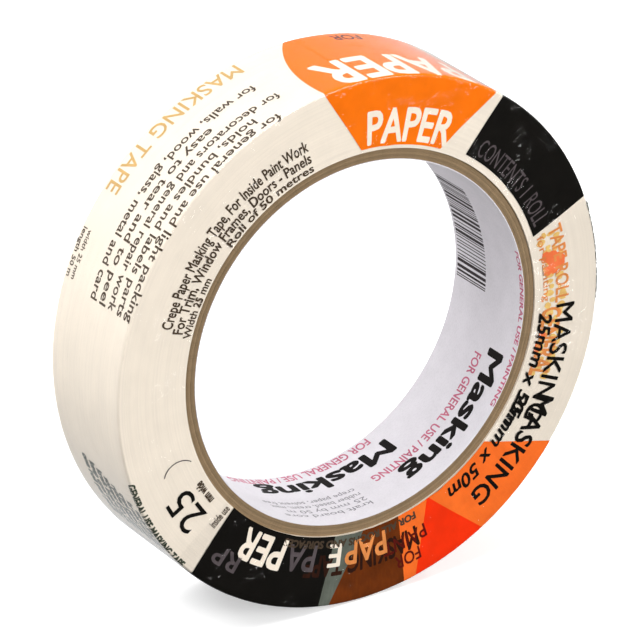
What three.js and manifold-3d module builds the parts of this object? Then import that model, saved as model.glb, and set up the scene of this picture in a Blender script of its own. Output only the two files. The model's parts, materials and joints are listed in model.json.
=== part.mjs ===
// A roll of crepe masking tape on a paper core, in its printed shrink film wrapper.
// Millimetres. The roll stands on its rim: its axis is parallel to Y, the printed front face looks
// along -Y and +Z is up. Clock angles are degrees clockwise from the top, seen from the front.
import * as THREE from "three";
import { mergeVertices } from "three/addons/utils/BufferGeometryUtils.js";
import Module from "manifold-3d";

const wasm = await Module();
wasm.setup();

// Paper core
const BORE_RADIUS = 38.1; // the common 3 inch core
const CORE_LENGTH = 24.2; // a little shorter than the tape, so the tape's edges stand proud
const LINER_THICKNESS = 0.16; // white printed paper at the bore
const PLY_COUNT = 5;
const PLY_THICKNESS = 0.44; // kraft board
const GLUE_LINE = 0.02; // between any two layers of paper

// Tape winding
const TAPE_WIDTH = 25;
const TAPE_BUILD = 15; // radial thickness of the wound tape
const TAPE_CORNER = 0.5; // the film pulls the tape's outer corners this round

// Shrink film wrapper
const FILM_THICKNESS = 0.08;
const FILM_CLEARANCE = 0.02; // between the film and what it lies on
const FILM_INNER_EDGE = 40.9; // radius where the film ends on the side faces, just off the core
const LAP_START = 228; // clock angle where the second turn starts
const FLAP_ROOT = 95; // clock angle where the free end starts to lift
const FLAP_END = 70; // clock angle of the film's cut edge
const ROOT_GAP = 0.3; // arc length between the lap and its free end

// Facets
const SIDES = 96; // round the roll; one facet lies flat on the ground
const CORNER_STEPS = 4; // across a rounded corner

const FACET = (2 * Math.PI) / SIDES;
const WEDGE_REACH = 3; // wedge radius over roll radius, so that its straight sides clear the roll

const linerOuter = BORE_RADIUS + LINER_THICKNESS;
const coreOuter = linerOuter + PLY_COUNT * (PLY_THICKNESS + GLUE_LINE);
const tapeInner = coreOuter + GLUE_LINE;
const tapeOuter = tapeInner + TAPE_BUILD;
const filmPitch = FILM_THICKNESS + FILM_CLEARANCE; // from one turn of film to the next
const lapOuter = tapeOuter + 2 * filmPitch;
const rollHeight = lapOuter * Math.cos(FACET / 2); // centre of the roll over the ground

const kraft = { color: 0x9a8262, roughness: 0.9, metalness: 0 };
const linerPaper = { color: 0xd4d0d2, roughness: 0.7, metalness: 0 };
const crepePaper = { color: 0xf0e2ce, roughness: 0.75, metalness: 0 };
const clearFilm = { color: 0xf4f2ee, roughness: 0.15, metalness: 0, transparent: true, opacity: 0.35 };

const roll = new THREE.Group();
roll.position.z = rollHeight;

// Turns a closed profile of [radius, y] points about the roll's axis. Every piece has its facets in
// the same places, so that layers stay parallel.
function turned(profile) {
  const points = profile.map(([radius, y]) => new THREE.Vector2(radius, y));
  points.push(points[0].clone());
  return new THREE.LatheGeometry(points, SIDES, FACET / 2);
}

function sleeve(innerRadius, outerRadius, length) {
  const half = length / 2;
  return turned([
    [innerRadius, -half],
    [outerRadius, -half],
    [outerRadius, half],
    [innerRadius, half],
  ]);
}

// The line over the roll at a height over the tape: out along the front face from an inner radius,
// round the front corner, over the rim, and back in along the rear face.
function overRoll(lift, innerRadius) {
  const side = TAPE_WIDTH / 2 + lift;
  const rim = tapeOuter + lift;
  const corner = TAPE_CORNER + lift;
  const line = [[innerRadius, -side]];
  for (let i = 0; i <= CORNER_STEPS; i++) {
    const turn = (i / CORNER_STEPS) * (Math.PI / 2);
    line.push([rim - corner + corner * Math.sin(turn), -side + corner - corner * Math.cos(turn)]);
  }
  const rear = line.map(([radius, y]) => [radius, -y]).reverse();
  return [...line, ...rear];
}

// A full turn of film, as the given layer over the tape.
function filmRing(layer) {
  const under = FILM_CLEARANCE + (layer - 1) * filmPitch;
  const outside = overRoll(under + FILM_THICKNESS, FILM_INNER_EDGE);
  const inside = overRoll(under, FILM_INNER_EDGE);
  return turned([...outside, ...inside.reverse()]);
}

// A wedge with its edge on the roll's axis, from one clock angle to another less than 180 degrees on.
function wedge(fromAngle, toAngle) {
  const reach = WEDGE_REACH * lapOuter;
  const outline = new THREE.Shape([new THREE.Vector2(0, 0)].concat(
    [fromAngle, (fromAngle + toAngle) / 2, toAngle].map((angle) => {
      const a = THREE.MathUtils.degToRad(angle);
      return new THREE.Vector2(reach * Math.sin(a), reach * Math.cos(a));
    }),
  ));
  const depth = 2 * TAPE_WIDTH;
  return new THREE.ExtrudeGeometry(outline, { depth, bevelEnabled: false })
    .rotateX(Math.PI / 2)
    .translate(0, depth / 2, 0);
}

function solidOf(geometry) {
  const bare = geometry.clone().deleteAttribute("normal").deleteAttribute("uv");
  const merged = mergeVertices(bare, 1e-4);
  return new wasm.Manifold(new wasm.Mesh({
    numProp: 3,
    vertProperties: merged.attributes.position.array,
    triVerts: new Uint32Array(merged.index.array),
  }));
}

function geometryOf(solid) {
  const mesh = solid.getMesh();
  const geometry = new THREE.BufferGeometry();
  geometry.setAttribute("position", new THREE.BufferAttribute(mesh.vertProperties, 3));
  geometry.setIndex(new THREE.BufferAttribute(mesh.triVerts, 1));
  geometry.computeVertexNormals();
  return geometry;
}

function filmSector(layer, fromAngle, toAngle) {
  return geometryOf(solidOf(filmRing(layer)).intersect(solidOf(wedge(fromAngle, toAngle))));
}

function add(name, geometry, look) {
  const mesh = new THREE.Mesh(geometry, new THREE.MeshStandardMaterial(look));
  mesh.name = name;
  roll.add(mesh);
}

function addCore() {
  add("core_liner", sleeve(BORE_RADIUS, linerOuter, CORE_LENGTH), linerPaper);
  for (let i = 0; i < PLY_COUNT; i++) {
    const inner = linerOuter + GLUE_LINE + i * (PLY_THICKNESS + GLUE_LINE);
    add(`core_ply_${i + 1}`, sleeve(inner, inner + PLY_THICKNESS, CORE_LENGTH), kraft);
  }
}

function addTape() {
  add("tape_winding", turned(overRoll(0, tapeInner)), crepePaper);
}

function addWrapper() {
  const halfGap = THREE.MathUtils.radToDeg(ROOT_GAP / 2 / lapOuter);
  add("wrapper_first_turn", filmRing(1), clearFilm);
  add("wrapper_lap", filmSector(2, FLAP_ROOT + halfGap, LAP_START), clearFilm);
  add("wrapper_free_end", filmSector(2, FLAP_END, FLAP_ROOT - halfGap), clearFilm);
}

addCore();
addTape();
addWrapper();

export default roll;
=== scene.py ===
"""The looks of a masking tape roll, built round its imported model.

Clock angles are degrees clockwise from the top of the roll, seen from its printed front face (-Y).
On the wrapper, "across" is the distance from the middle of the rim, over the rounded corner and down
a side face: negative towards the front, positive towards the rear. "Lift" is the height over the tape.
"""

import json
import math
import random
from collections import Counter

import bmesh
import bpy
import numpy as np
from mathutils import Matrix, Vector, noise
from mathutils.geometry import delaunay_2d_cdt


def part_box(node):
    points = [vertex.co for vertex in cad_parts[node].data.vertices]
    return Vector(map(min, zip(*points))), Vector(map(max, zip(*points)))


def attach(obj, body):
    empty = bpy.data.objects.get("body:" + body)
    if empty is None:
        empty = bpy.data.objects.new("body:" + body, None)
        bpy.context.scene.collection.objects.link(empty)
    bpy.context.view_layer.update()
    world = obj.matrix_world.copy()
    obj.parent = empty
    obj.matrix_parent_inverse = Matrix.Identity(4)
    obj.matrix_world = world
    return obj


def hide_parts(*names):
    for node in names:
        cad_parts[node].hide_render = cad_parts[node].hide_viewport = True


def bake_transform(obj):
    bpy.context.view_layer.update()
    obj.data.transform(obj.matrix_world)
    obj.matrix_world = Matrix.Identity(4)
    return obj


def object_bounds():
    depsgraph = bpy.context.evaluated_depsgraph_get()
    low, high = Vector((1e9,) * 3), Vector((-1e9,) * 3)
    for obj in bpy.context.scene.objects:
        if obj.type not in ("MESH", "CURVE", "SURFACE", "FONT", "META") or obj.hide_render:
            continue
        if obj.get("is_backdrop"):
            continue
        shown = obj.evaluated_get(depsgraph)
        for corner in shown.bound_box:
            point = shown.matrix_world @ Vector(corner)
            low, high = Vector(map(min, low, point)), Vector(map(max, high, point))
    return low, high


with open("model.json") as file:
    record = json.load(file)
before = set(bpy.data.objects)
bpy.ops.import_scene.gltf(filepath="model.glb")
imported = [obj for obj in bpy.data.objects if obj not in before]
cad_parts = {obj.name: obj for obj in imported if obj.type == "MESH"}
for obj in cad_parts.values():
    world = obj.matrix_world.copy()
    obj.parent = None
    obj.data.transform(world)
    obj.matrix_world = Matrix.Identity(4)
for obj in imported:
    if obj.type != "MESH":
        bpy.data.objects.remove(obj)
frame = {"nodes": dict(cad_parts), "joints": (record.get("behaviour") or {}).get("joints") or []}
cad_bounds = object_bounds()

MM = 0.001

# Camera, round the middle of the roll
CAMERA_AZIMUTH = -32.8
CAMERA_ELEVATION = 25.0
CAMERA_DISTANCE = 1.1062
CAMERA_LENS = 317.1
CAMERA_SENSOR = 36
CAMERA_CLIP = (0.05, 20)
AIM_RIGHT = -1.72 * MM
AIM_UP = 0.36 * MM

# Clock angles of the wrapper's second turn, in degrees
FLAP_END = 70
FLAP_ROOT = 95
LAP_START = 228
LAP_RAMP = 3  # the second turn comes down to the first over this many degrees past LAP_START
BEND_LENGTH = 7  # the free end: bend_at_hinge works out a line this many degrees before its root
TIP_LENGTH = 5  # and its edge curls over this many

TAPE_CORNER = 0.5 * MM  # radius of the rounded corners between the rim and the faces

# Heights over the tape, in the order that the layers lie
FILM = 0.04 * MM  # thickness of the film
INK = 0.008 * MM  # thickness of one ink
STACK = 0.001 * MM  # between blots of one ink that lie on each other
STACKED = 6  # blots in a row before the heights start again
FIRST_INK = 0.012 * MM
FIRST_LETTERS = 0.026 * MM
FIRST_FILM = 0.05 * MM
LAP_INK = 0.103 * MM
LAP_INK_OVER = 0.116 * MM
LAP_LETTERS = 0.13 * MM
LAP_FILM = 0.15 * MM
LINER_INK = 0.01 * MM
TIP_CURL = 0.35 * MM  # how far the free end's edge stands off

# Unevenness of the film, and of the core's and the tape's edges
GATHER = 0.4 * MM  # how far the film's gathers stand out at its inner edges
GATHER_WAVES = 75  # round the roll
GATHER_START = 0.35  # the share of the way down a face where they begin
SLACK = 0.035 * MM  # how uneven the film lies elsewhere
SLACK_WAVES = 30
SLACK_LENGTH = 9 * MM  # of its waves across the film
CRIMP_WAVES = 130  # where the film is pulled round a corner
CRIMP_REACH = 2 * MM  # how far they reach to both sides of it
EDGE_DRIFT = 0.12 * MM  # how far the film's inner edges wander
LAP_REACH = 0.4 * MM  # how much further in the second turn and its panels go
LINER_CUT = 0.08 * MM  # how ragged the ends of the liner and of the board plies are cut
PLY_CUTS = [cut * MM for cut in (0.22, 0.12, 0.2, 0.1, 0.16)]
PLY_SHADES = (1.0, 0.94, 1.04, 0.97, 1.02)
TURN_STEP = 0.25 * MM  # between the points on the tape's faces, where its turns' edges show
TURN_CUT = 0.03 * MM  # how unevenly those edges lie
TURN_DRIFT = 0.012 * MM  # and how far each wanders round the roll
TURN_WAVES = 20
TEAR_WAVES = 700  # of the core's ragged ends, round the roll
TEAR_GRAIN = 900  # the same across the wall, for each metre
DRIFT_WAVES = 40  # of the slower change in how deep the ends are cut
EDGE_WAVES = 60  # of the film's inner edges

# Fineness of the meshes
RING_STEPS = 360  # round the roll
PLY_STEPS = 720
FILM_STEP = 0.75  # degrees
LAP_STEPS = 216
RIM_POINTS = 10  # of the film, from the middle of the rim to a corner
CORNER_POINTS = 6  # of the film and of the tape
FACE_POINTS = 16  # of the film, down a face
TAPE_RIM_POINTS = 18
TAPE_INSIDE_POINTS = 6
CORNER_STEPS = 4  # across a rounded corner, for print
PANEL_ROWS = 44
TOP_PANEL_ROWS = 60
PANEL_COLUMNS = 34
LETTER_FINENESS = 3
ARC_STEPS = 48
BLOT_STEPS = 18
NARROWEST = 0.02  # degrees that a panel's row needs to be drawn
SHARP_ANGLE = 40  # degrees
CUT_ANGLE = 1.25  # degrees between the cuts that let a flat shape follow the roll
CUT_ACROSS = 1.1 * MM
BOLD_COPIES = 6  # shifted copies that make a letter bolder
SMOOTH_TURN = 7  # an outline's corners of fewer degrees than this are left out

# Places of the print
PRINT_EDGE = 42 * MM  # radius where the first turn's colour panels end on the faces
TOP_PRINT_EDGE = 41.3 * MM  # and where the top lens ends on the front face
LENS_MIDDLE = -8 * MM  # where across a lens is widest
LENS_REACH = 27.7 * MM  # from there to its top and bottom
ALONG_DEGREE = 0.84 * MM  # how far a degree reaches on a side face, halfway down the print
RIM_REPEAT = 141.5  # degrees from the rim's block of words to its next copy
LENS_DRAW = 0.2  # the share that a lens narrows down the side faces
BAND_DRAW = (1.5, 2)  # degrees that a band's edges spread there
BARS_START, BARS_END = 58, 95.5  # clock angles on the liner
BAR_WIDTHS = (0.35, 0.35, 0.7, 1.05)  # degrees
BAR_GAPS = (0.35, 0.6, 0.9)

# Ink and film
INK_ROUGHNESS = 0.42
FILM_STRAIGHT = 0.015  # the film's alpha where it is seen straight on
FILM_GRAZING = 0.9  # and at a grazing angle
FILM_RISE = 8  # how late it rises between them
PATCH_START, PATCH_FULL = 0.45, 0.7  # noise values where a patch of crinkles begins and is full

# Studio
LIGHTS = (  # name, place, size, power
    ("key", (-0.6, -0.05, 1.15), 0.8, 12),
    ("front", (0.6, -1.5, 0.45), 1.0, 30),
    ("right", (1.4, 0.4, 0.5), 0.8, 7),
)
SKY_STRENGTH = 1.05
SKY_FRONT = 0.08  # the share of the sky's light that is left towards the front
SKY_BRIGHT_SIDE = (-0.5, 1, 0.35)  # the sky grows bright this way
SKY_DARK = -0.5  # and is darkest where its reach this way is less than this
SKY_BRIGHT = 0.9  # and brightest beyond this
FLOOR_HALF = 4
FLOOR_DROP = 0.1 * MM
FLOOR_GLOW = 0.42
DOME_RADIUS = 6

# Ink colours, as sRGB bytes under white light
CREAM = (245, 233, 216)
ORANGE = (247, 116, 6)
PALE_ORANGE = (248, 112, 40)
RED_ORANGE = (244, 50, 6)
BROWN = (98, 44, 8)
BLACK = (12, 10, 7)
CHARCOAL = (92, 97, 88)
TEXT_BROWN = (74, 61, 48)
GOLD = (204, 166, 104)
GHOST = (226, 142, 78)
DARK_RED = (88, 18, 10)
DARK_BROWN = (44, 20, 10)
RED_BLOT = (250, 120, 70)
GOLD_BLOT = (244, 190, 112)
GREY_GREEN = (66, 72, 60)
DIM_GREY = (84, 76, 78)
KRAFT = (138, 116, 88)
# the liner's paper, made a little darker and greyer than white paper as painted shade inside the bore
LINER_AND_BORE_SHADE = (230, 226, 231)
LINER_BLACK = (24, 20, 20)
MAGENTA = (196, 108, 132)
LINER_GREY = (136, 132, 138)
BAR_GREY = (58, 52, 54)
DARK_GREEN = (92, 96, 82)


# ---- measures from the frame

def centre_height():
    low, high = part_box("tape_winding")
    return (low.z + high.z) / 2


CENTRE_Z = centre_height()


def ring(name):
    """Inner radius, outer radius and half width of a CAD node that goes round the roll's axis."""
    places = np.array([vertex.co for vertex in frame["nodes"][name].data.vertices])
    radii = np.hypot(places[:, 0], places[:, 2] - CENTRE_Z)
    return float(radii.min()), float(radii.max()), float(abs(places[:, 1]).max())


BORE, LINER_OUTER, CORE_HALF = ring("core_liner")
TAPE_INNER, RIM, SIDE = ring("tape_winding")
FILM_EDGE = ring("wrapper_first_turn")[0]
PLIES = sorted(name for name in frame["nodes"] if name.startswith("core_ply_"))

FLAT_HALF = SIDE - TAPE_CORNER
FACE_START = FLAT_HALF + TAPE_CORNER * math.pi / 2
FACE_DEPTH = RIM - TAPE_CORNER - FILM_EDGE


def spot(angle, radius, along):
    """The point at a clock angle and radius, at a place along the roll's axis."""
    turn = math.radians(angle)
    return Vector((radius * math.sin(turn), along, CENTRE_Z + radius * math.cos(turn)))


def smooth(value, start, end):
    """0 before start, 1 after end, with a soft rise between them."""
    share = min(max((value - start) / (end - start), 0), 1)
    return share * share * (3 - 2 * share)


def wave(angle, turns, seed, along=0.0):
    """Smooth noise from -1 to 1 that closes on itself round the roll, about turns waves round."""
    turn = math.radians(angle)
    reach = turns / 6
    return noise.noise(Vector((reach * math.sin(turn) + seed, reach * math.cos(turn), along)))


def over_roll(across, lift):
    """Radius and y of a place on the wrapper."""
    far = abs(across)
    side = math.copysign(1, across)
    if far <= FLAT_HALF:
        return RIM + lift, across
    if far <= FACE_START:
        turn = (far - FLAT_HALF) / TAPE_CORNER
        reach = TAPE_CORNER + lift
        return RIM - TAPE_CORNER + reach * math.cos(turn), side * (FLAT_HALF + reach * math.sin(turn))
    return RIM - TAPE_CORNER - (far - FACE_START), side * (SIDE + lift)


def ripple(angle, across):
    """How far the film stands off: it gathers towards its inner edges and is taut over the rim."""
    depth = abs(across) - FACE_START
    side = 11 if across < 0 else 37
    drawn = smooth(depth, GATHER_START * FACE_DEPTH, FACE_DEPTH)
    gathers = max(0, wave(angle, GATHER_WAVES, side) - 0.05) * drawn
    crimps = max(0, wave(angle, CRIMP_WAVES, side + 5)) * smooth(-abs(depth), -CRIMP_REACH, 0)
    slack = 0.5 + 0.5 * wave(angle, SLACK_WAVES, 3, across / SLACK_LENGTH)
    return GATHER * gathers + SLACK * (slack + crimps)


def on_wrapper(angle, across, lift):
    """A point on the wrapper's own wrinkled surface."""
    radius, along = over_roll(across, lift + ripple(angle, across))
    return spot(angle, radius, along)


def on_flap(angle, across, lift):
    """A point on the second turn, whose free end curls off the roll."""
    curl = TIP_CURL * max(0, (FLAP_END + TIP_LENGTH - angle) / TIP_LENGTH) ** 2
    return on_wrapper(angle, across, lift + curl)


def on_liner(angle, along, lift):
    return spot(angle, BORE - lift, along)


def face_across(radius):
    """The place on the front side face at a radius."""
    return -(FACE_START + RIM - TAPE_CORNER - radius)


# ---- meshes

def add_object(name, data):
    thing = bpy.data.objects.new(name, data)
    bpy.context.scene.collection.objects.link(thing)
    return thing


def make_piece(name, points, faces, places, material, body="roll"):
    """A mesh piece with smooth shading and a UV map in metres, which rides on a body."""
    mesh = bpy.data.meshes.new(name)
    mesh.from_pydata([tuple(p) for p in points], [], faces)
    uv = mesh.uv_layers.new(name="surface")
    corners = np.zeros(len(mesh.loops), np.int32)
    mesh.loops.foreach_get("vertex_index", corners)
    uv.data.foreach_set("uv", np.array(places, np.float32)[corners].ravel())
    shape = bmesh.new()
    shape.from_mesh(mesh)
    bmesh.ops.recalc_face_normals(shape, faces=shape.faces)
    shape.to_mesh(mesh)
    shape.free()
    mesh.shade_smooth()
    mesh.set_sharp_from_angle(angle=math.radians(SHARP_ANGLE))
    mesh.materials.append(material)
    piece = add_object(name, mesh)
    if body:
        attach(piece, body)
    return piece


def loop_faces(rows, columns):
    """Quads of a grid that closes on itself both ways."""
    faces = []
    for row in range(rows):
        after = (row + 1) % rows
        for column in range(columns):
            beside = (column + 1) % columns
            faces.append((row * columns + column, row * columns + beside,
                          after * columns + beside, after * columns + column))
    return faces


def turned_piece(name, profile, steps, bend, material):
    """A closed profile of (radius, y) turned about the roll's axis; bend moves each point a little."""
    lengths = np.cumsum([0] + [math.dist(a, b) for a, b in zip(profile, profile[1:])])
    points, places = [], []
    for step in range(steps):
        angle = 180 + 360 * step / steps
        for (radius, along), length in zip(profile, lengths):
            radius, along = bend(angle, radius, along)
            points.append(spot(angle, radius, along))
            places.append((math.radians(angle) * RIM, length))
    return make_piece(name, points, loop_faces(steps, len(profile)), places, material)


def wall(inner, outer, half, across_steps, along_steps):
    """The closed outline of a sleeve's wall, with points across its ends and along its faces."""
    ends = np.linspace(inner, outer, across_steps)
    run = np.linspace(-half, half, along_steps)[1:-1]
    front = [(radius, -half) for radius in ends]
    outside = [(outer, along) for along in run]
    rear = [(radius, half) for radius in ends[::-1]]
    inside = [(inner, along) for along in run[::-1]]
    return front + outside + rear + inside


# ---- materials

def linear(colour):
    """An sRGB colour in bytes as linear values."""
    return tuple(
        c / 255 / 12.92 if c <= 10 else ((c / 255 + 0.055) / 1.055) ** 2.4 for c in colour
    )


def put(node, values):
    """Sets the values of a shader node's inputs."""
    for name, value in values.items():
        node.inputs[name].default_value = value


class Look:
    """A Principled material whose pattern follows the piece's UV map in metres."""

    def __init__(self, name, roughness, coat=0.0, coat_roughness=0.1, specular=0.5):
        self.material = bpy.data.materials.new(name)
        self.material.use_nodes = True
        self.tree = self.material.node_tree
        self.shader = self.tree.nodes["Principled BSDF"]
        put(self.shader, {"Roughness": roughness, "Coat Weight": coat,
                          "Coat Roughness": coat_roughness, "Specular IOR Level": specular})
        self.surface = self.node("UVMap")
        self.surface.uv_map = "surface"

    def node(self, kind, values=None):
        node = self.tree.nodes.new("ShaderNode" + kind)
        put(node, values or {})
        return node

    def link(self, source, target):
        self.tree.links.new(source, target)

    def grain(self, around, across, detail=3.0, distortion=0.0):
        """Noise with grains of that size round the roll and across it, in metres."""
        mapping = self.node("Mapping", {"Scale": (1 / around, 1 / across, 1)})
        self.link(self.surface.outputs["UV"], mapping.inputs["Vector"])
        texture = self.node("TexNoise", {"Scale": 1, "Detail": detail, "Distortion": distortion})
        self.link(mapping.outputs["Vector"], texture.inputs["Vector"])
        return texture.outputs["Fac"]

    def shades(self, grain, stops):
        """Colours along a noise value: stops are (value, sRGB colour)."""
        ramp = self.node("ValToRGB")
        elements = ramp.color_ramp.elements
        while len(elements) < len(stops):
            elements.new(0.5)
        for element, (value, colour) in zip(elements, stops):
            element.position = value
            element.color = (*linear(colour), 1)
        self.link(grain, ramp.inputs["Fac"])
        return ramp.outputs["Color"]

    def blend(self, first, second, share):
        mix = self.node("Mix", {"Factor": share})
        mix.data_type = "RGBA"
        self.link(first, mix.inputs["A"])
        self.link(second, mix.inputs["B"])
        return mix.outputs["Result"]

    def patchy(self, grain, patches):
        """A noise value kept only in patches of another: none where that is low, all where it is high."""
        share = self.node("MapRange", {"From Min": PATCH_START, "From Max": PATCH_FULL})
        share.interpolation_type = "SMOOTHSTEP"
        self.link(patches, share.inputs["Value"])
        product = self.node("Math")
        product.operation = "MULTIPLY"
        self.link(grain, product.inputs[0])
        self.link(share.outputs["Result"], product.inputs[1])
        return product.outputs["Value"]

    def colour(self, source):
        self.link(source, self.shader.inputs["Base Color"])

    def rough(self, grain, low, high):
        """Roughness from low to high along a noise value."""
        spread = self.node("MapRange", {"To Min": low, "To Max": high})
        self.link(grain, spread.inputs["Value"])
        self.link(spread.outputs["Result"], self.shader.inputs["Roughness"])

    def relief(self, grain, height, strength=1.0, under=None):
        """Bumps of a height in metres; under is an earlier relief that these lie on."""
        bump = self.node("Bump", {"Strength": strength, "Distance": height})
        self.link(grain, bump.inputs["Height"])
        if under is not None:
            self.link(under, bump.inputs["Normal"])
        self.link(bump.outputs["Normal"], self.shader.inputs["Normal"])
        return bump.outputs["Normal"]


def tinted(colour, share):
    """A colour made lighter (share over 1) or darker."""
    return tuple(min(255, c * share) for c in colour)


def crepe_look():
    """Cream crepe paper: fine ridges across the strip, and faint rings where its turns show."""
    look = Look("crepe_paper", roughness=0.62, coat=0.12, coat_roughness=0.3, specular=0.35)
    mottle = look.grain(7 * MM, 5 * MM, detail=4)
    base = look.shades(mottle, [(0.3, tinted(CREAM, 0.965)), (0.7, tinted(CREAM, 1.01))])
    rings = look.grain(60 * MM, 0.35 * MM, detail=2)
    turns = look.shades(rings, [(0.35, tinted(CREAM, 0.95)), (0.6, CREAM)])
    look.colour(look.blend(base, turns, 0.4))
    look.rough(mottle, 0.5, 0.72)
    ridges = look.relief(look.grain(0.9 * MM, 9 * MM, detail=3, distortion=0.4), 0.03 * MM, 0.5)
    look.relief(rings, 0.02 * MM, 0.4, under=ridges)
    return look.material


def kraft_look(name, shade):
    """Kraft board: streaks of fibre round the core, flecks, and a rough cut end."""
    look = Look(name, roughness=0.9, specular=0.2)
    kraft = tinted(KRAFT, shade)
    fibres = look.grain(3.5 * MM, 0.18 * MM, detail=5, distortion=0.6)
    base = look.shades(fibres, [(0.25, tinted(kraft, 0.8)), (0.5, kraft), (0.78, tinted(kraft, 1.15))])
    flecks = look.grain(0.35 * MM, 0.3 * MM, detail=2)
    specks = look.shades(flecks, [(0.2, tinted(kraft, 0.6)), (0.42, kraft), (0.8, tinted(kraft, 1.12))])
    look.colour(look.blend(base, specks, 0.45))
    look.relief(flecks, 0.06 * MM, 0.6)
    return look.material


def liner_look():
    """White printed paper: a soft mottle of fibres. Its faint grey cast is partly the paper's own and
    partly painted shade of the bore, since the whole colour is made darker.
    """
    look = Look("liner_paper", roughness=0.55, specular=0.35)
    mottle = look.grain(6 * MM, 4 * MM, detail=5)
    base = look.shades(mottle, [(0.3, tinted(LINER_AND_BORE_SHADE, 0.97)), (0.7, tinted(LINER_AND_BORE_SHADE, 1.02))])
    fibres = look.grain(0.8 * MM, 0.25 * MM, detail=4)
    threads = look.shades(fibres, [(0.3, tinted(LINER_AND_BORE_SHADE, 0.92)), (0.55, tinted(LINER_AND_BORE_SHADE, 1.02))])
    look.colour(look.blend(base, threads, 0.35))
    look.rough(mottle, 0.42, 0.62)
    look.relief(fibres, 0.02 * MM, 0.4)
    return look.material


def ink_look(name, colour, spread):
    """Printed ink: a slight mottle, thin places along fine streaks, and an uneven gloss."""
    look = Look(name, roughness=INK_ROUGHNESS, specular=0.05)
    mottle = look.grain(5 * MM, 4 * MM, detail=4)
    base = look.shades(mottle, [(0.3, tinted(colour, 1 - spread)), (0.7, tinted(colour, 1 + spread))])
    streaks = look.grain(0.5 * MM, 2.5 * MM, detail=3)
    thin = look.shades(streaks, [(0.25, tinted(colour, 1 + 1.5 * spread)), (0.6, colour)])
    look.colour(look.blend(base, thin, 0.35))
    look.rough(mottle, INK_ROUGHNESS - 0.08, INK_ROUGHNESS + 0.1)
    look.relief(streaks, 0.006 * MM, 0.3)
    return look.material


def film_look():
    """Clear glossy film: it lets all through except its reflections, which grow at shallow angles."""
    look = Look("clear_film", roughness=0.13)
    put(look.shader, {"Base Color": (1, 1, 1, 1), "Metallic": 1})
    facing = look.node("LayerWeight", {"Blend": 0.5})
    steep = look.node("Math", {1: FILM_RISE})
    steep.operation = "POWER"
    look.link(facing.outputs["Facing"], steep.inputs[0])
    shine = look.node("MapRange", {"To Min": FILM_STRAIGHT, "To Max": FILM_GRAZING})
    look.link(steep.outputs["Value"], shine.inputs["Value"])
    look.link(shine.outputs["Result"], look.shader.inputs["Alpha"])
    waves = look.grain(14 * MM, 6 * MM, detail=2)
    creases = look.relief(waves, 0.35 * MM, 0.5)
    fine = look.grain(1.5 * MM, 1.9 * MM, detail=1, distortion=0.8)
    crinkles = look.patchy(fine, look.grain(9 * MM, 7 * MM))
    look.relief(crinkles, 0.5 * MM, 1, under=creases)
    return look.material


# ---- core and tape

def ragged(seed, depth):
    """A bend that cuts a sleeve's ends a little short, unevenly, as cut board is."""
    def bend(angle, radius, along):
        if abs(along) < CORE_HALF - 0.01 * MM:
            return radius, along
        end = seed if along < 0 else seed + 50
        tear = 0.5 + 0.5 * wave(angle, TEAR_WAVES, end, radius * TEAR_GRAIN)
        drift = 0.5 + 0.5 * wave(angle, DRIFT_WAVES, end + 9)
        return radius, along - math.copysign(depth * (0.6 * tear + 0.4 * drift), along)
    return bend


def build_core():
    liner = wall(BORE, LINER_OUTER, CORE_HALF, 3, 26)
    piece = turned_piece("liner", liner, RING_STEPS, ragged(2, LINER_CUT), liner_look())
    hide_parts("core_liner")
    for number, name in enumerate(PLIES):
        inner, outer, half = ring(name)
        depth = PLY_CUTS[number % len(PLY_CUTS)]
        shade = PLY_SHADES[number % len(PLY_SHADES)]
        material = kraft_look(f"kraft_board_{number + 1}", shade)
        outline = wall(inner, outer, half, 5, 4)
        piece = turned_piece(f"kraft_ply_{number + 1}", outline, PLY_STEPS, ragged(20 + number, depth),
                             material)
        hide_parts(name)


def tape_outline():
    """The tape's section, with points down its faces for the turns' edges."""
    rings = np.arange(TAPE_INNER, RIM - TAPE_CORNER, TURN_STEP)
    turns = np.linspace(0, math.pi / 2, CORNER_POINTS)
    front = [(radius, -SIDE) for radius in rings]
    corner = [(RIM - TAPE_CORNER + TAPE_CORNER * math.sin(turn),
               -FLAT_HALF - TAPE_CORNER * math.cos(turn)) for turn in turns]
    half = front + corner
    rim = [(RIM, along) for along in np.linspace(-FLAT_HALF, FLAT_HALF, TAPE_RIM_POINTS)[1:-1]]
    rear = [(radius, -along) for radius, along in reversed(half)]
    inside = [(TAPE_INNER, along) for along in np.linspace(SIDE, -SIDE, TAPE_INSIDE_POINTS)[1:-1]]
    return half + rim + rear + inside


def build_tape():
    """The wound tape, each of whose turns lies a little deeper or less deep than the next."""
    draw = random.Random(5)
    cuts = {}

    def bend(angle, radius, along):
        if abs(along) < SIDE - 0.001 * MM or radius > RIM - TAPE_CORNER:
            return radius, along
        turn = (round(radius / MM, 2), along > 0)
        if turn not in cuts:
            cuts[turn] = draw.uniform(0, 1) * TURN_CUT
        drift = TURN_DRIFT * (1 + wave(angle, TURN_WAVES, turn[0], along))
        return radius, along - math.copysign(cuts[turn] + drift, along)

    piece = turned_piece("tape", tape_outline(), RING_STEPS, bend, crepe_look())
    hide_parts("tape_winding")


# ---- film

def film_line(angle, depth):
    """The places across the film from its front inner edge to its rear one, at a clock angle."""
    rim = list(np.linspace(0, FLAT_HALF, RIM_POINTS))
    corner = list(np.linspace(FLAT_HALF, FACE_START, CORNER_POINTS)[1:])
    both = []
    for side in (-1, 1):
        reach = depth + EDGE_DRIFT * wave(angle, EDGE_WAVES, 70 + side)
        face = list(FACE_START + reach * np.linspace(0, 1, FACE_POINTS)[1:])
        both.append([side * across for across in rim + corner + face])
    return both[0][::-1] + both[1][1:]


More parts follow.
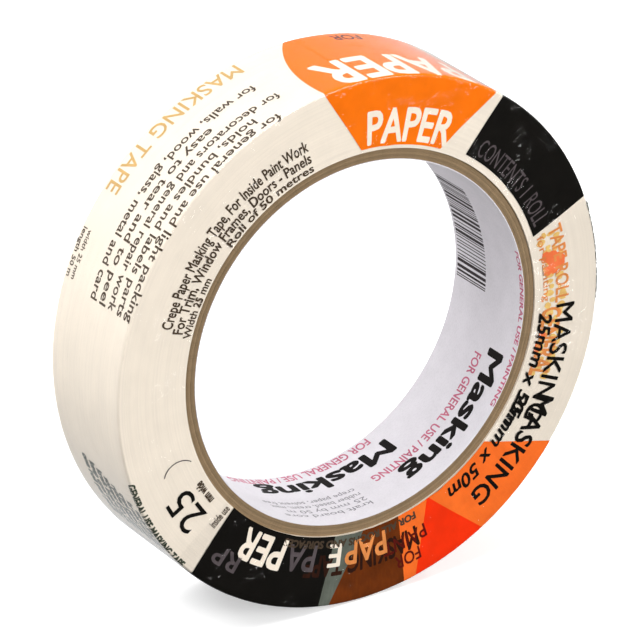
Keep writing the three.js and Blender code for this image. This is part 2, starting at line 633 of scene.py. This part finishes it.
def film_piece(name, angles, depth, under, place, material, closed=False):
    """A closed sheet of film over the roll, which goes whole round it or has two cut edges.

    depth is how far it reaches down the faces, and under gives the lift of its underside at a clock
    angle. A piece that goes whole round rides on the roll, and the other is left to bend_at_hinge.
    """
    points, places = [], []
    for angle in angles:
        line = film_line(angle, depth)
        rows = [(across, under(angle) + FILM) for across in line]
        rows += [(across, under(angle)) for across in reversed(line)]
        for across, lift in rows:
            points.append(place(angle, across, lift))
            places.append((math.radians(angle) * RIM, across))
    count = len(points) // len(angles)
    faces = loop_faces(len(angles), count)
    if not closed:
        faces = faces[:-count]
        half = count // 2
        for start in (0, len(points) - count):
            for step in range(half - 1):
                faces.append((start + step, start + step + 1,
                              start + count - 2 - step, start + count - 1 - step))
    return make_piece(name, points, faces, places, material, body="roll" if closed else None)


def bend_at_hinge(piece):
    """Bakes a piece's place into its mesh. It works out the hinge and a line before it, but bends nothing.
    """
    hinge = Vector(frame["joints"][0]["pos_m"])
    beyond = Vector((hinge.x, 0, spot(FLAP_ROOT - BEND_LENGTH, RIM, 0).z))
    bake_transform(piece)


def build_film():
    material = film_look()
    angles = np.arange(0, 360, FILM_STEP)
    first = film_piece("film_first_turn", angles, FACE_DEPTH, lambda angle: FIRST_FILM, on_wrapper,
                       material, closed=True)
    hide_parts("wrapper_first_turn")

    def under(angle):
        return LAP_FILM - (LAP_FILM - FIRST_FILM - FILM) * smooth(angle, LAP_START, LAP_START + LAP_RAMP)

    angles = np.linspace(FLAP_END, LAP_START + LAP_RAMP, LAP_STEPS)
    second = film_piece("film_second_turn", angles, FACE_DEPTH + LAP_REACH, under, on_flap, material)
    bend_at_hinge(second)
    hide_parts("wrapper_lap", "wrapper_free_end")


# ---- print

def font_mesh(words, slant):
    """The words as flat points and faces in the built-in font, in its own units."""
    curve = bpy.data.curves.new("letters", "FONT")
    curve.body = words
    curve.shear = slant
    curve.resolution_u = LETTER_FINENESS
    text = bpy.data.objects.new("letters", curve)
    mesh = bpy.data.meshes.new_from_object(text)
    points = [vertex.co.xy for vertex in mesh.vertices]
    faces = [face.vertices[:] for face in mesh.polygons]
    bpy.data.objects.remove(text)
    bpy.data.curves.remove(curve)
    bpy.data.meshes.remove(mesh)
    return points, faces


def islands(points, faces):
    """Groups of faces that hang together."""
    owner = list(range(len(points)))

    def root(index):
        while owner[index] != index:
            index = owner[index]
        return index

    for face in faces:
        for index in face[1:]:
            owner[root(index)] = root(face[0])
    groups = {}
    for face in faces:
        groups.setdefault(root(face[0]), []).append(face)
    return groups.values()


def inside(places, triangles):
    """Which of the places lie in one of the triangles, as a list of booleans."""
    x, y = places[:, None, 0], places[:, None, 1]
    signs = []
    for corner in range(3):
        a, b = triangles[:, corner], triangles[:, (corner + 1) % 3]
        signs.append((b[:, 0] - a[:, 0]) * (y - a[:, 1]) - (b[:, 1] - a[:, 1]) * (x - a[:, 0]))
    within = (signs[0] > 0) & (signs[1] > 0) & (signs[2] > 0)
    return within.any(axis=1)


def bolder(points, faces, weight):
    """The union of copies of a flat shape, each moved by the weight in its own direction."""
    uses = Counter(frozenset(pair) for face in faces for pair in zip(face, face[1:] + face[:1]))
    rim = [tuple(edge) for edge, count in uses.items() if count == 1]
    used = sorted({index for face in faces for index in face})
    order = {index: place for place, index in enumerate(used)}
    turns = [math.tau * copy / BOLD_COPIES for copy in range(BOLD_COPIES)]
    shifts = [Vector((weight * math.cos(turn), weight * math.sin(turn))) for turn in turns]
    places = [points[index] + shift for shift in shifts for index in used]
    edges = [(copy * len(used) + order[a], copy * len(used) + order[b])
             for copy in range(len(shifts)) for a, b in rim]
    places, _, candidates, *_ = delaunay_2d_cdt(places, edges, [], 0, 1e-5)
    middles = np.array([sum((places[index] for index in face), Vector((0, 0))) / 3 for face in candidates])
    triangles = np.array([[points[index] for index in face] for face in faces])
    filled = np.zeros(len(middles), bool)
    for shift in shifts:
        filled |= inside(middles - np.array(shift), triangles)
    return places, [face for face, full in zip(candidates, filled) if full]


def flat_letters(words, weight, slant):
    """The words as flat points and triangles, their strokes made bolder by a weight."""
    points, faces = font_mesh(words, slant)
    if not weight:
        return points, faces
    all_points, all_faces = [], []
    for group in islands(points, faces):
        places, kept = bolder(points, group, weight)
        first = len(all_points)
        all_points += places
        all_faces += [[first + index for index in face] for face in kept]
    return all_points, all_faces


CAPITAL = max(point.y for point in font_mesh("H", 0)[0])  # height of a capital in the font's units


def letter_shape(words, start, end, base, height, way, weight=0.0, slant=0.0, lying=False):
    """Words as a flat bmesh in clock angle and across, cut up so that it can follow the surface.

    They run from start to end on the line base. way is 1 where their tops are further across and -1
    where they are less. Letters that lie on their side fill the height, with their tops at the end.
    """
    points, faces = flat_letters(words, weight, slant)
    if lying:
        points = [Vector((point.y, -point.x)) for point in points]
    left, right = (pick(point.x for point in points) for pick in (min, max))
    bottom, top = (pick(point.y for point in points) for pick in (min, max))
    if not lying:
        bottom, top = 0, CAPITAL
    shape = bmesh.new()
    verts = [shape.verts.new((point.x, point.y, 0)) for point in points]
    for face in faces:
        shape.faces.new([verts[index] for index in face])
    drop_loose(shape)
    shape.normal_update()
    bmesh.ops.dissolve_limit(shape, angle_limit=math.radians(SMOOTH_TURN), verts=shape.verts[:],
                             edges=shape.edges[:])
    for vertex in shape.verts:
        x, y, _ = vertex.co
        vertex.co = (start + (x - left) / (right - left) * (end - start),
                     base + way * (y - bottom) / (top - bottom) * height, 0)
    cut_up(shape)
    return shape


def drop_loose(shape):
    """Takes out the points that no face uses."""
    for vertex in [vertex for vertex in shape.verts if not vertex.link_faces]:
        shape.verts.remove(vertex)


def corner_places():
    """Where across the wrapper's two rounded corners start, are stepped and end."""
    steps = [TAPE_CORNER * math.pi / 2 * step / CORNER_STEPS for step in range(CORNER_STEPS + 1)]
    return [side * (FLAT_HALF + step) for side in (1, -1) for step in steps]


def cut_up(shape):
    """Cuts a flat shape along lines of equal angle and equal across, and at the rounded corners."""
    for axis, step, extra in ((0, CUT_ANGLE, []), (1, CUT_ACROSS, corner_places())):
        values = [vertex.co[axis] for vertex in shape.verts]
        low, high = min(values), max(values)
        lines = list(np.arange(math.ceil(low / step), math.ceil(high / step)) * step)
        normal = Vector((1, 0, 0)) if axis == 0 else Vector((0, 1, 0))
        for line in lines + [edge for edge in extra if low < edge < high]:
            bmesh.ops.bisect_plane(shape, geom=shape.verts[:] + shape.edges[:] + shape.faces[:],
                                   dist=1e-6, plane_co=normal * line, plane_no=normal)


def panel_shape(left, right, low, high, rows=PANEL_ROWS, columns=PANEL_COLUMNS):
    """A flat panel between two edges, each a function from across to clock angle."""
    shape = bmesh.new()
    grid = []
    for across in panel_rows(low, high, rows):
        start, end = left(across), right(across)
        if end - start < NARROWEST:
            grid.append(None)
            continue
        grid.append([shape.verts.new((start + (end - start) * step / columns, across, 0))
                     for step in range(columns + 1)])
    for row, after in zip(grid, grid[1:]):
        if row and after:
            for a, b, c, d in zip(row, row[1:], after[1:], after):
                shape.faces.new((a, b, c, d))
    drop_loose(shape)
    return shape


def panel_rows(low, high, rows):
    """Even rows from low to high, with more at the wrapper's rounded corners."""
    places = set(np.linspace(low, high, rows))
    places.update(edge for edge in corner_places() if low < edge < high)
    return sorted(places)


def box_shape(start, end, low, high):
    """A flat four-sided mark."""
    return panel_shape(lambda across: start, lambda across: end, low, high, rows=2,
                       columns=max(1, math.ceil((end - start) / CUT_ANGLE)))


def arc_shape(angle, across, half_along, half_across, thin, thick, reach):
    """An open arc of an ellipse, reach degrees to both sides, whose stroke thins towards its ends."""
    shape = bmesh.new()
    rows = []
    for step in range(ARC_STEPS + 1):
        turn = math.radians(reach * (2 * step / ARC_STEPS - 1))
        stroke = thin + (thick - thin) * math.cos(turn)
        rows.append([shape.verts.new((angle + (half_along - shrink) * math.cos(turn) / ALONG_DEGREE,
                                      across + (half_across - shrink) * math.sin(turn), 0))
                     for shrink in (0, stroke)])
    for row, after in zip(rows, rows[1:]):
        shape.faces.new((row[0], after[0], after[1], row[1]))
    return shape


def blot_shape(angle, across, half_along, half_across, draw):
    """A small uneven blot of ink."""
    shape = bmesh.new()
    middle = shape.verts.new((angle, across, 0))
    edge = []
    for step in range(BLOT_STEPS):
        turn = math.tau * step / BLOT_STEPS
        reach = draw.uniform(0.8, 1)
        edge.append(shape.verts.new((angle + reach * half_along * math.cos(turn) / ALONG_DEGREE,
                                     across + reach * half_across * math.sin(turn), 0)))
    for first, second in zip(edge, edge[1:] + edge[:1]):
        shape.faces.new((middle, first, second))
    cut_up(shape)
    return shape


class Print:
    """One ink's marks, wrapped onto the roll as thin closed sheets in one piece."""

    def __init__(self, name, ink, colour, spread=0.06, place=on_wrapper):
        self.name, self.place = name, place
        self.material = ink_look(ink, colour, spread)
        self.points, self.faces, self.places = [], [], []

    def add(self, shape, lift):
        """Wraps a flat shape onto the surface at a lift, gives it a thickness, and frees it."""
        shape.verts.index_update()
        first, count = len(self.points), len(shape.verts)
        for height in (lift + INK, lift):
            for vertex in shape.verts:
                angle, across = vertex.co.x, vertex.co.y
                self.points.append(self.place(angle, across, height))
                self.places.append((math.radians(angle) * RIM, across))
        for face in shape.faces:
            loop = [first + vertex.index for vertex in face.verts]
            self.faces.append(tuple(loop))
            self.faces.append(tuple(index + count for index in reversed(loop)))
        for edge in shape.edges:
            if len(edge.link_faces) == 1:
                a, b = (first + vertex.index for vertex in edge.verts)
                self.faces.append((a, b, b + count, a + count))
        shape.free()

    def words(self, words, start, end, line, height, lift=FIRST_LETTERS, **style):
        """Words between two clock angles on a line, with capitals of a height in millimetres."""
        base, way = line
        self.add(letter_shape(words, start, end, base, height * MM, way, **style), lift)

    def piece(self, body="roll", slot="clear_film"):
        return make_piece(self.name, self.points, self.faces, self.places, self.material, body)


# The wrapper's art: a lens shaped colour panel with a dark band after it, printed again and again.


def drawn_in(across):
    """How far down a side face a place is, from 0 at the rim to 1 at the film's edge."""
    return max(0, abs(across) - FACE_START) / FACE_DEPTH


def lens(centre, half):
    """The left and right edges of a lens, which the shrunk film draws in towards the bore."""
    def half_angle(across):
        share = (across - LENS_MIDDLE) / LENS_REACH
        return half * math.sqrt(max(0, 1 - share * share)) * (1 - LENS_DRAW * drawn_in(across))
    return (lambda across: centre - half_angle(across)), (lambda across: centre + half_angle(across))


def band(start, end):
    """The left and right edges of a dark band."""
    before, after = BAND_DRAW
    return (lambda across: start - before * drawn_in(across),
            lambda across: end + after * drawn_in(across))


def later(first, second):
    return lambda across: max(first(across), second(across))


def sooner(first, second):
    return lambda across: min(first(across), second(across))


TOP_LENS = lens(12, 21.6)
TOP_BAND = band(35.4, 69.6)
LENS_A = lens(146.5, 20.6)
LENS_B = lens(168.8, 19.8)
BAND_A = band(169.8, 204.5)
BAND_B = band(191, 225.6)
PANEL_LOW = face_across(PRINT_EDGE)
PANEL_HIGH = -PANEL_LOW
LAP_LOW = face_across(FILM_EDGE - LAP_REACH)


def lap_panel(ink, left, right):
    """Adds a panel of the second turn's print, between two edges."""
    ink.add(panel_shape(left, right, LAP_LOW, PANEL_HIGH), LAP_INK)


def print_panels():
    """The colour panels. Where two turns of print lie on each other, the seen colour is printed."""
    top = Print("print_orange", "ink_orange", ORANGE, 0.05)
    top.add(panel_shape(*TOP_LENS, face_across(TOP_PRINT_EDGE), PANEL_HIGH, rows=TOP_PANEL_ROWS),
            FIRST_INK)
    top.piece()
    black = Print("print_black_panels", "ink_black", BLACK, 0.3)
    black.add(panel_shape(*TOP_BAND, PANEL_LOW, PANEL_HIGH), FIRST_INK)
    lap_panel(black, *BAND_B)
    black.piece()
    pale = Print("print_pale_orange", "ink_pale_orange", PALE_ORANGE)
    lap_panel(pale, LENS_A[0], sooner(LENS_A[1], LENS_B[0]))
    lap_panel(pale, later(LENS_A[1], LENS_B[0]), sooner(LENS_B[1], BAND_A[0]))
    pale.piece()
    red = Print("print_red_orange", "ink_red_orange", RED_ORANGE, 0.05)
    lap_panel(red, LENS_B[0], sooner(LENS_A[1], BAND_A[0]))
    red.piece()
    brown = Print("print_brown", "ink_brown", BROWN, 0.2)
    lap_panel(brown, later(BAND_A[0], LENS_B[0]), sooner(LENS_B[1], BAND_B[0]))
    brown.piece()
    grey = Print("print_charcoal", "ink_charcoal", CHARCOAL, 0.15)
    lap_panel(grey, later(LENS_B[1], BAND_A[0]), BAND_B[0])
    grey.piece()


def at(radius):
    """Where across the front face is, at a radius in millimetres."""
    return face_across(radius * MM)


def front(radius):
    """A line of words on the front face, at a radius in millimetres, whose tops point outwards."""
    return at(radius), 1


def rear(radius):
    return -at(radius), -1


def level(y):
    """A line of words round the rim or the liner, at a y in millimetres, whose tops point to -Y."""
    return y * MM, -1


FACE_ROWS = (  # words, start angle, end angle, radius of the line, height of capitals
    ("Crepe Paper Masking Tape, For Inside Paint Work", -72, -16, 45.75, 2.4),
    ("For Trim, Window Frames, Doors - Panels", -73, -16, 43.1, 2.2),
    ("Width 25 mm", -74, -57, 41.1, 1.6),
    ("Roll of 50 metres", -47, -16, 41.1, 1.6),
)
RIM_ROWS = (  # words, start angle, end angle, y of the line in millimetres
    ("for walls, wood, glass, metal and card", -17, -71.5, 2.0),
    ("easy to tear and to peel", -30, -71.5, -1.2),
    ("for decorators and general repair work", -15.5, -71.5, -4.4),
    ("holds, bundles and labels parts", -23.5, -71.5, -7.6),
    ("for general use and light packing", -19.5, -71.5, -10.7),
)


def print_small_words():
    rows = Print("print_small_words", "ink_text", TEXT_BROWN, 0.12)
    for words, start, end, radius, height in FACE_ROWS:
        rows.words(words, start, end, front(radius), height, weight=0.02)
    for shift, texts in ((0, RIM_ROWS), (RIM_REPEAT, RIM_ROWS[:-1])):
        for words, start, end, line in texts:
            rows.words(words, start + shift, end + shift, level(line), 2.15, weight=0.012)
        for words, line in (("width 25 mm", 9.9), ("length 50 m", 11.7)):
            rows.words(words, shift - 60, shift - 70.5, level(line), 1.2, weight=0.01)
    rows.words("FOR ALL ROOMS AND SURFACES", 163, 206, front(41.4), 1.5, LAP_LETTERS, weight=0.05)
    rows.words("mm wide", 235, 242.5, front(42), 1.7, weight=0.04)
    rows.words("inside use", 228.3, 230.7, front(41.2), 4.9, weight=0.02, lying=True)
    rows.piece()


def print_big_words():
    """The knocked out words in the panels, and the black words between them."""
    cream = Print("print_cream_words", "ink_cream", CREAM, 0.03)
    cream.words("PAPER", 0.8, 26.5, front(42.1), 6.6, weight=0.025)
    cream.words("PAPER", 28, -6, level(-1.2), 10.6, weight=0.03)
    cream.words("PER", 204.5, 219.5, front(41.9), 6.2, LAP_LETTERS, weight=0.025)
    cream.words("E", 186.8, 190.6, front(42.3), 4.8, LAP_LETTERS, weight=0.02)
    cream.words("PAPER", 180, 140, level(-1.2), 10.6, LAP_LETTERS, weight=0.03)
    cream.piece()
    gold = Print("print_gold_words", "ink_gold", GOLD, 0.08)
    for shift in (0, RIM_REPEAT):
        gold.words("MASKING TAPE", shift - 15, shift - 51.5, level(11.4), 3.9, weight=0.008)
    gold.piece()
    black = Print("print_black_words", "ink_black_words", BLACK, 0.3)
    black.words("MASKING", 93.5, 124, front(45.9), 4.2, LAP_LETTERS, weight=0.01)
    black.words("MASKING", 117, 147, front(46.8), 4.3, LAP_LETTERS, weight=0.018)
    black.words("25mm x 50m", 95, 128, front(41.9), 3, LAP_LETTERS, weight=0.025, slant=0.25)
    black.words("25mm x 50m", 118, 152, front(41.9), 3, LAP_LETTERS, weight=0.025, slant=0.25)
    black.words("MASKING", 112, 78, rear(46.2), 4.4, weight=0.015)
    black.words("25mm x 50m", 110, 80, rear(42), 3, weight=0.025, slant=0.25)
    black.words("MASKING TAPE", 330, 280, rear(45.9), 4.4, weight=0.015)
    black.words("for inside paint work", 330, 280, rear(42.4), 2)
    black.words("25", 233.2, 243.4, front(44.9), 6)
    black.piece()
    red = Print("print_dark_red_words", "ink_dark_red", DARK_RED, 0.1)
    red.words("FOR", 164.5, 171.3, front(49.3), 2.8, LAP_LETTERS, weight=0.015)
    red.words("PAINT", 161.5, 174, front(45.1), 3, LAP_LETTERS, weight=0.015)
    red.words("FOR", 14, 7, level(11), 2.6, weight=0.02)
    red.piece()
    dim = Print("print_dim_words", "ink_dim", DIM_GREY, 0.2)
    dim.words("CONTENTS 1 ROLL", 37, 69, front(42.8), 3.7)
    dim.words("PA", 194.5, 203.6, front(42.4), 5.4, LAP_LETTERS, weight=0.02)
    dim.words("RP", 216, 224, front(47.8), 3.6, LAP_LETTERS, weight=0.02)
    dim.add(arc_shape(247.8, at(45.4), 3.4 * MM, 3.7 * MM, 0.14 * MM, 0.24 * MM, 62), FIRST_LETTERS)
    dim.piece()


RED_BLOTS = (  # angle, radius, and half the length along the roll and across it, in millimetres
    (81.6, 46.8, 2.1, 1.5), (80.2, 45.2, 1.9, 1.7), (82.8, 45.2, 1.7, 1.4), (79.2, 43.8, 1.5, 1.1),
    (83.4, 43.7, 1.2, 1), (101.5, 43.2, 1.2, 0.9), (105, 42.8, 1.5, 0.9),
)


def print_shown_through():
    """Words and blots of the first turn's print, which show pale or reddish through the second."""
    draw = random.Random(12)
    ghost = Print("print_ghost_words", "ink_ghost", GHOST, 0.1)
    ghost.words("TAPE ROLL", 72, 93, front(45.6), 3, weight=0.02)
    ghost.words("for painting", 72.5, 92, front(42.6), 1.5, weight=0.01)
    ghost.words("GENERAL", 94, 113, front(42.6), 4.4, weight=0.03)
    ghost.words("PAP", 173, 185.5, front(42.2), 5, LAP_LETTERS, weight=0.02)
    ghost.piece()
    dark = Print("print_dark_brown_words", "ink_dark_brown", DARK_BROWN, 0.15)
    dark.words("MASKING TAPE", 164, 197, front(44.6), 4.4, LAP_INK_OVER, weight=0.03)
    dark.piece()
    shade = Print("print_gold_blots", "ink_gold_blots", GOLD_BLOT, 0.15)
    places = [(angle, radius) for angle in np.arange(73, 113, 1.7) for radius in (43.9, 46.6)]
    for number, (angle, radius) in enumerate(places):
        blot = blot_shape(angle + draw.uniform(-0.6, 0.6), at(radius + draw.uniform(-0.7, 0.9)),
                          draw.uniform(0.5, 1.1) * MM, draw.uniform(0.5, 1.2) * MM, draw)
        shade.add(blot, FIRST_INK + STACK * (number % STACKED))
    shade.piece()
    red = Print("print_red_blots", "ink_red_blots", RED_BLOT, 0.08)
    for number, (angle, radius, along, across) in enumerate(RED_BLOTS):
        blot = blot_shape(angle, at(radius), along * MM, across * MM, draw)
        red.add(blot, FIRST_INK + INK + STACK * number)
    red.piece()


def print_liner():
    """The white liner's print: the same block of words, shifted, and bars with no number."""
    black = Print("liner_print_black", "liner_ink_black", LINER_BLACK, 0.15, on_liner)
    bars = Print("liner_print_bars", "liner_ink_bars", BAR_GREY, 0.15, on_liner)
    magenta = Print("liner_print_magenta", "liner_ink_magenta", MAGENTA, 0.08, on_liner)
    grey = Print("liner_print_grey", "liner_ink_grey", LINER_GREY, 0.1, on_liner)
    lift = LINER_INK
    for start, along in ((110, -4), (151.5, 7.4)):
        black.words("Masking", start, start + 48, level(along), 4.6, lift, weight=0.035)
        magenta.words("FOR GENERAL USE / PAINTING", start + 3.5, start + 55, level(along + 4), 2.2,
                      lift, weight=0.02)
    magenta.words("FOR GENERAL USE / PAINTING", 74, 125, level(-10.8), 1.2, lift, weight=0.03)
    draw = random.Random(8)
    angle = BARS_START
    while angle < BARS_END:
        thick = draw.choice(BAR_WIDTHS)
        bars.add(box_shape(angle, angle + thick, 1.2 * MM, 11.3 * MM), lift)
        angle += thick + draw.choice(BAR_GAPS)
    lines = ("crepe paper, solvent free", "rubber based, cream, matt", "25 mm by 50 m", "kraft board core")
    for words, along, end in zip(lines, (-0.6, -2.7, -4.8, -7), (205, 204, 200, 203)):
        grey.words(words, 172, end, level(along), 1.4, lift)
    for ink in (black, bars, magenta, grey):
        ink.piece(slot="liner_paper")


SIDE_ROWS = (  # words, start angle, end angle, y of the line in millimetres
    ("mm by 50 m, crepe", 245, 233, -9.4),
    ("for paint work inside", 246.5, 233, -7.2),
    ("crepe paper, cream", 247.5, 233.5, -5),
    ("rubber based glue", 248.5, 234, -2.8),
    ("solvent free, matt", 249.5, 234, -0.6),
    ("kraft board core", 250.5, 234.5, 1.6),
    ("keep cool and dry", 251.5, 235, 3.8),
    ("one roll per pack", 252.5, 235.5, 6),
)


def print_edge_rows():
    """Small grey words at the rim's edge, seen at a shallow angle. One line is on the free end."""
    roll = Print("print_edge_rows", "ink_grey_green", GREY_GREEN, 0.15)
    roll.words("GENERAL USE MASKING TAPE", 253, 228.5, level(-11.6), 1.5, weight=0.05)
    for words, start, end, line in SIDE_ROWS:
        roll.words(words, start, end, level(line), 1.8, weight=0.07)
    roll.piece()
    flap = Print("free_end_words", "ink_dark_green", DARK_GREEN, 0.15, on_flap)
    flap.words("GENERAL USE MASKING TAPE", 94, 71.5, level(-11.3), 1.2, LAP_LETTERS, weight=0.05)
    bend_at_hinge(flap.piece(body=None))


def build_print():
    print_panels()
    print_small_words()
    print_big_words()
    print_shown_through()
    print_liner()
    print_edge_rows()


# ---- stage

def aim(thing, place, target):
    """Puts a camera or a light at a place and turns it towards a target."""
    thing.location = place
    thing.rotation_mode = "QUATERNION"
    thing.rotation_quaternion = (target - thing.location).to_track_quat("-Z", "Y")


def add_camera():
    data = bpy.data.cameras.new("camera")
    data.lens = CAMERA_LENS
    data.sensor_width = CAMERA_SENSOR
    data.clip_start, data.clip_end = CAMERA_CLIP
    camera = add_object("camera", data)
    azimuth, elevation = math.radians(CAMERA_AZIMUTH), math.radians(CAMERA_ELEVATION)
    back = Vector((math.sin(azimuth) * math.cos(elevation),
                   -math.cos(azimuth) * math.cos(elevation), math.sin(elevation)))
    centre = Vector((0, 0, CENTRE_Z))
    right = (-back).cross(Vector((0, 0, 1))).normalized()
    up = right.cross(-back)
    target = centre + right * AIM_RIGHT + up * AIM_UP
    aim(camera, centre + back * CAMERA_DISTANCE, target)
    bpy.context.scene.camera = camera


def add_light(name, place, size, power):
    """A square soft light that looks at the roll."""
    data = bpy.data.lights.new(name, "AREA")
    data.shape = "SQUARE"
    data.size = size
    data.energy = power
    aim(add_object(name, data), place, Vector((0, 0, CENTRE_Z)))


def stage_look(name, shade, glow, roughness, specular):
    """A plain grey or white that also glows white."""
    material = bpy.data.materials.new(name)
    material.use_nodes = True
    put(material.node_tree.nodes["Principled BSDF"], {
        "Base Color": (shade, shade, shade, 1), "Roughness": roughness, "Specular IOR Level": specular,
        "Emission Color": (1, 1, 1, 1), "Emission Strength": glow})
    return material


def stage_piece(mesh, material):
    """A mesh of the studio's, which throws no light on the roll and doesn't mirror in it."""
    mesh.materials.append(material)
    piece = add_object(mesh.name, mesh)
    piece.visible_glossy = False
    piece.visible_diffuse = False
    return piece


def add_floor():
    half = FLOOR_HALF
    mesh = bpy.data.meshes.new("floor")
    mesh.from_pydata([(-half, -half, 0), (half, -half, 0), (half, half, 0), (-half, half, 0)], [],
                     [(0, 1, 2, 3)])
    floor = stage_piece(mesh, stage_look("floor", 0.96, FLOOR_GLOW, roughness=0.9, specular=0.1))
    floor.location.z = -FLOOR_DROP
    floor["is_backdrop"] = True


def add_backdrop():
    """A white dome behind the floor, which only the camera sees."""
    shape = bmesh.new()
    bmesh.ops.create_uvsphere(shape, u_segments=48, v_segments=24, radius=DOME_RADIUS)
    mesh = bpy.data.meshes.new("backdrop")
    shape.to_mesh(mesh)
    shape.free()
    dome = stage_piece(mesh, stage_look("backdrop", 1, 1, roughness=0.5, specular=0.5))
    dome.visible_transmission = False
    dome.visible_shadow = False
    dome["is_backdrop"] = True


def add_sky():
    """A white studio that grows dark towards the front, where the camera stands."""
    world = bpy.data.worlds.new("studio")
    world.use_nodes = True
    tree = world.node_tree
    sky = tree.nodes["Background"]
    put(sky, {"Strength": SKY_STRENGTH})
    place = tree.nodes.new("ShaderNodeTexCoord")
    toward = tree.nodes.new("ShaderNodeVectorMath")
    toward.operation = "DOT_PRODUCT"
    put(toward, {1: SKY_BRIGHT_SIDE})
    spread = tree.nodes.new("ShaderNodeMapRange")
    spread.interpolation_type = "SMOOTHSTEP"
    put(spread, {"From Min": SKY_DARK, "From Max": SKY_BRIGHT, "To Min": SKY_FRONT, "To Max": 1})
    tree.links.new(place.outputs["Generated"], toward.inputs[0])
    tree.links.new(toward.outputs["Value"], spread.inputs["Value"])
    tree.links.new(spread.outputs["Result"], sky.inputs["Color"])
    bpy.context.scene.world = world


def add_stage():
    add_sky()
    bpy.context.scene.view_settings.view_transform = "Standard"
    for light in LIGHTS:
        add_light(*light)
    add_floor()
    add_backdrop()


add_camera()
add_stage()
build_core()
build_tape()
build_film()
build_print()

sizes = {"cad": cad_bounds, "visual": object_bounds()}
{name: [list(corner) for corner in corners] for name, corners in sizes.items()}
